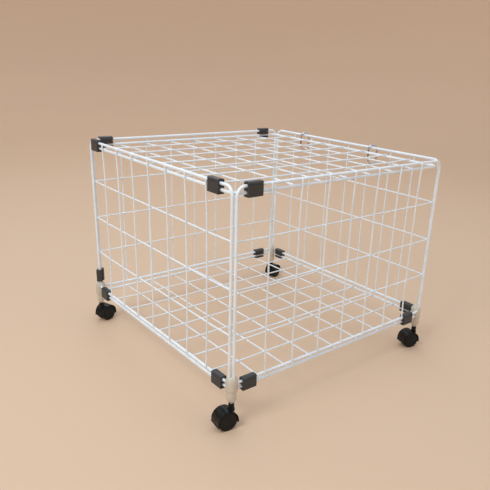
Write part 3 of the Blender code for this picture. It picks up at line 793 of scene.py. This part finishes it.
def make_hood(corner, nylon):
    """The hood, shaped about its axle, with its wheel spaces, stem socket, axle hole and slots."""
    bm = bmesh.new()
    extrude_outline(bm, hood_outline(), -HOOD_HALF_WIDTH, HOOD_HALF_WIDTH)
    bmesh.ops.rotate(bm, verts=bm.verts, matrix=Matrix.Rotation(math.radians(90), 3, "X"))
    hood = plain_object("hood_shape", bm)
    collar = [(0, 0.0060), (COLLAR_RADIUS + 0.0012, 0.0145), (COLLAR_RADIUS + 0.0010, 0.0180)]
    collar += [(COLLAR_RADIUS + 0.0004, 0.0192), (COLLAR_RADIUS, 0.0204)]
    collar += [(COLLAR_RADIUS, COLLAR_TOP - 0.0010), (COLLAR_RADIUS - 0.0003, COLLAR_TOP - 0.0003)]
    collar += [(COLLAR_RADIUS - 0.0010, COLLAR_TOP), (0, COLLAR_TOP)]
    combine(hood, plain_object("collar", turned(collar, 40, (TRAIL, 0, 0))), "UNION")
    for low, high in ((WEB_HALF, 0.030), (-0.030, -WEB_HALF)):
        space = [(0, low), (HOOD_CAVITY, low), (HOOD_CAVITY, high), (0, high)]
        combine(hood, plain_object("space", turned(space, 72, upright=False)), "DIFFERENCE")
    socket = [(0, SOCKET_FLOOR), (SOCKET_RADIUS, SOCKET_FLOOR), (SOCKET_RADIUS, 0.040), (0, 0.040)]
    combine(hood, plain_object("socket", turned(socket, 32, (TRAIL, 0, 0))), "DIFFERENCE")
    pin = [(0, -0.020), (AXLE_BORE, -0.020), (AXLE_BORE, 0.020), (0, 0.020)]
    combine(hood, plain_object("pin", turned(pin, 24, upright=False)), "DIFFERENCE")
    for angle, wide, tall in ((128, 0.0034, 0.0050), (168, 0.0046, 0.0056)):
        spin = Matrix.Rotation(math.radians(-angle), 4, "Y")
        slot = box_mesh((0.0030, wide, tall), spin @ Matrix.Translation((HOOD_RADIUS, 0, 0)))
        combine(hood, plain_object("slot", slot), "DIFFERENCE")
    soften(hood, 0.00035, 48, 2)
    hood.data.transform(Matrix.Translation((-TRAIL, 0, 0)))
    hood.data.transform(yaw_at(*stem_centre(corner), WHEEL_RADIUS, CASTER_YAW[corner]))
    smooth(hood.data, 40)
    hood.name = "caster_hood_" + corner + "_moulding"
    return piece(hood, "caster_hood_" + corner, "caster_" + corner, nylon)


def make_wheel(corner, side, nylon):
    """A wheel with a crowned tread and a face of shallow steps."""
    name = "wheel_" + corner + ("_a" if side < 0 else "_b")
    inner, face, floor = WHEEL_INNER, WHEEL_OUTER, AXLE_HALF + CLEARANCE
    profile = [
        (0, floor), (AXLE_BORE, floor), (AXLE_BORE, inner),
        (0.0060, inner), (0.0066, inner + 0.0012), (0.0141, inner + 0.0012), (0.0147, inner),
        (0.0172, inner), (0.0179, inner + 0.0004), (0.01815, inner + 0.0012),
        (WHEEL_RADIUS, inner + 0.0022), (WHEEL_RADIUS, face - 0.0024), (0.01810, face - 0.0013),
        (0.0178, face - 0.0006), (0.0173, face - 0.0002), (0.0167, face), (0.0160, face),
        (0.0158, face - 0.0003), (0.0155, face - 0.0003), (0.0152, face),
        (0.0100, face - 0.0001), (0, face - 0.0001),
    ]
    bm = turned(profile, 72, upright=False)
    if side < 0:
        bmesh.ops.rotate(bm, verts=bm.verts, matrix=Matrix.Rotation(math.pi, 3, "X"))
    place = yaw_at(*stem_centre(corner), WHEEL_RADIUS, CASTER_YAW[corner])
    place = place @ Matrix.Translation((-TRAIL, 0, 0))
    wheel = plain_object(name + "_moulding", bm, place, smooth_angle=38)
    return piece(wheel, name, name, nylon)


# ---------------------------------------------------------------- snap hooks

def hook_place(along):
    """A snap hook's own frame: X across it, Y up its length, hung on the door's top wire."""
    stand = Matrix.Translation((0, 0, HOOK_MIDDLE)) @ Matrix.Rotation(math.radians(90), 4, "X")
    return yaw_at(PLANE_SPAN, along, SIDE_HIGH, HOOK_YAW) @ stand


def knuckle(half, radius):
    """A short round boss about the gate's pivot."""
    rim = 0.0003
    profile = [(0, -half), (radius - rim, -half), (radius, rim - half)]
    profile += [(radius, half - rim), (radius - rim, half), (0, half)]
    return turned(profile, 40, (-HOOK_HALF_WIDTH, HOOK_PIVOT, 0))


def make_hook(name, place, steel):
    """The bent wire, with a slotted boss for the gate."""
    half = HOOK_HALF_WIDTH
    path = [Vector((-half, HOOK_NOSE, 0)), Vector((-half, HOOK_NOSE + 0.0012, 0))]
    path += arc((0, HOOK_STRAIGHT), half, 178, 0, 26)
    path += arc((0, -HOOK_STRAIGHT), half, 0, -180, 26)
    path += [Vector((-half, HOOK_PIVOT - 0.0008, 0)), Vector((-half, HOOK_PIVOT - 0.0004, 0))]
    bm = bmesh.new()
    round_bar(bm, path, Vector((0, 0, 1)), HOOK_RADIUS, 20)
    hook = plain_object("hook_shape", bm)
    combine(hook, plain_object("knuckle", knuckle(KNUCKLE_HALF, KNUCKLE_RADIUS)), "UNION")
    room = TONGUE_HALF + CLEARANCE
    slot = [(0, -room), (0.0038, -room), (0.0038, room), (0, room)]
    combine(hook, plain_object("slot", turned(slot, 32, (-half, HOOK_PIVOT, 0))), "DIFFERENCE")
    hook.data.transform(place)
    smooth(hook.data, 40)
    hook.name = "snap_hook_" + name + "_wire"
    return piece(hook, "snap_hook_" + name, "hook_" + name, steel)


def make_gate(name, place, steel):
    """The gate: a tongue in the hook's boss, a thin neck, and a bar up to the hook's nose."""
    half = HOOK_HALF_WIDTH
    gate = plain_object("gate_shape", knuckle(TONGUE_HALF, KNUCKLE_RADIUS - CLEARANCE))
    bar = bmesh.new()
    foot, head = HOOK_PIVOT + 0.0018, HOOK_NOSE - CLEARANCE
    neck = [Vector((-half, foot, 0)), Vector((-half, foot + 0.0060, 0))]
    sweep(bar, neck, Vector((0, 0, 1)), 0.0011, 16)
    combine(gate, plain_object("bar", bar), "UNION")
    rod = bmesh.new()
    levels = (HOOK_PIVOT + KNUCKLE_RADIUS + 0.0016, 0, head)
    path = [Vector((-half, level, 0)) for level in levels]
    round_bar(rod, path, Vector((0, 0, 1)), 0.0016, 20)
    combine(gate, plain_object("rod", rod), "UNION")
    gate.data.transform(place)
    smooth(gate.data, 40)
    gate.name = "snap_gate_" + name + "_bar"
    return piece(gate, "snap_gate_" + name, "gate_" + name, steel)


def make_rivet(name, place, steel):
    """The gate's rivet, with a rounded head at each end."""
    seat = KNUCKLE_HALF + CLEARANCE
    head = ((0.0007, 0), (0.0016, 0), (0.0013, 0.0005), (0.0008, 0.0007), (0, 0.0008))
    profile = [(radius, -seat - rise) for radius, rise in reversed(head)]
    profile += [(radius, seat + rise) for radius, rise in head]
    bm = turned(profile, 28, (-HOOK_HALF_WIDTH, HOOK_PIVOT, 0))
    rivet = plain_object("snap_rivet_" + name + "_turned", bm, place)
    return piece(rivet, "snap_rivet_" + name, "hook_" + name, steel)


# ---------------------------------------------------------------- light, floor and camera

def area_light(name, energy, size, place, target, colour):
    """A square light of some watts and a size, facing a target."""
    light = bpy.data.lights.new(name, "AREA")
    light.energy = energy
    light.size = size
    light.color = colour
    obj = bpy.data.objects.new(name, light)
    bpy.context.scene.collection.objects.link(obj)
    obj.location = place
    obj.rotation_euler = (Vector(target) - Vector(place)).to_track_quat("-Z", "Y").to_euler()


def make_stage():
    """A pale floor that curves up into a plain backdrop, and soft light from the upper left."""
    bowl = [(0, 0), (2.5, 0), (3.0, 0.05), (3.4, 0.22)]
    bowl += [(3.7, 0.52), (3.85, 0.9), (3.9, 1.4), (3.9, 2.4)]
    bm = bmesh.new()
    lathe(bm, bowl, 96)
    lid = [face for face in bm.faces if len(face.verts) > 4]
    bmesh.ops.delete(bm, geom=lid, context="FACES_ONLY")
    floor = plain_object("floor", bm, smooth_angle=60)
    material, tree, shader = material_base("pale_floor", (0.67, 0.475, 0.325), 0.62)
    shader.inputs["Specular IOR Level"].default_value = 0.2
    floor.data.materials.append(material)
    world = bpy.data.worlds.new("soft_room")
    bpy.context.scene.world = world
    world.use_nodes = True
    background = world.node_tree.nodes["Background"]
    background.inputs["Color"].default_value = (0.84, 0.95, 1.09, 1)
    background.inputs["Strength"].default_value = 0.95
    middle = (0, 0, 0.22)
    area_light("key", 38, 1.1, (-2.1, -0.5, 2.3), middle, (0.90, 0.97, 1.0))
    area_light("fill", 5, 2.2, (1.2, -2.4, 1.2), middle, (0.93, 0.96, 1.0))
    area_light("rim", 10, 1.8, (0.9, 2.2, 2.2), middle, (0.95, 0.98, 1.0))
    bpy.context.scene.view_settings.view_transform = "Standard"


def make_camera():
    """A camera at a yaw, pitch and roll, with its optical axis off the middle of the frame."""
    yaw, pitch, roll = (math.radians(degrees) for degrees in CAMERA_TURN)
    ahead = Vector((math.sin(yaw), math.cos(yaw), 0))
    forward = math.cos(pitch) * ahead - math.sin(pitch) * Vector((0, 0, 1))
    level = Vector((math.cos(yaw), -math.sin(yaw), 0))
    upright = level.cross(forward)
    right = math.cos(roll) * level + math.sin(roll) * upright
    up = -math.sin(roll) * level + math.cos(roll) * upright
    place = Matrix((right, up, -forward)).transposed().to_4x4()
    place.translation = ORIGIN + Vector(CAMERA_PLACE)
    camera = bpy.data.cameras.new("camera")
    camera.sensor_width = 36
    camera.lens = CAMERA_LENS
    camera.shift_x, camera.shift_y = CAMERA_SHIFT
    obj = bpy.data.objects.new("camera", camera)
    bpy.context.scene.collection.objects.link(obj)
    obj.matrix_world = place
    bpy.context.scene.camera = obj


def main():
    coat = coated_wire()
    charcoal = clip_plastic()
    beige = bracket_plastic()
    hood_black = caster_nylon("hood_nylon", (0.006,) * 3, (0.012,) * 3, 0.20, 0.36)
    wheel_black = caster_nylon("wheel_nylon", (0.009,) * 3, (0.016,) * 3, 0.36, 0.52)
    steel = plated_steel("zinc_plate", (0.40, 0.40, 0.42), (0.62, 0.62, 0.64))
    dark_steel = plated_steel("dark_zinc_plate", (0.05, 0.05, 0.055), (0.12, 0.12, 0.13))
    make_panels(coat)
    make_clips(charcoal)
    door_sides = {"front": None, "right": "y", "back": "x", "left": None}
    for corner in CORNERS:
        make_bracket(corner, door_sides[corner], beige)
        make_stem(corner, steel)
        make_hood(corner, hood_black)
        for side in (-1, 1):
            make_wheel(corner, side, wheel_black)
        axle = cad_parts["axle_" + corner]
        axle.data.materials.clear()
        axle.data.materials.append(steel)
    for name, along in HOOKS.items():
        place = hook_place(along)
        make_hook(name, place, steel)
        make_gate(name, place, dark_steel)
        make_rivet(name, place, steel)
    make_stage()
    make_camera()


main()
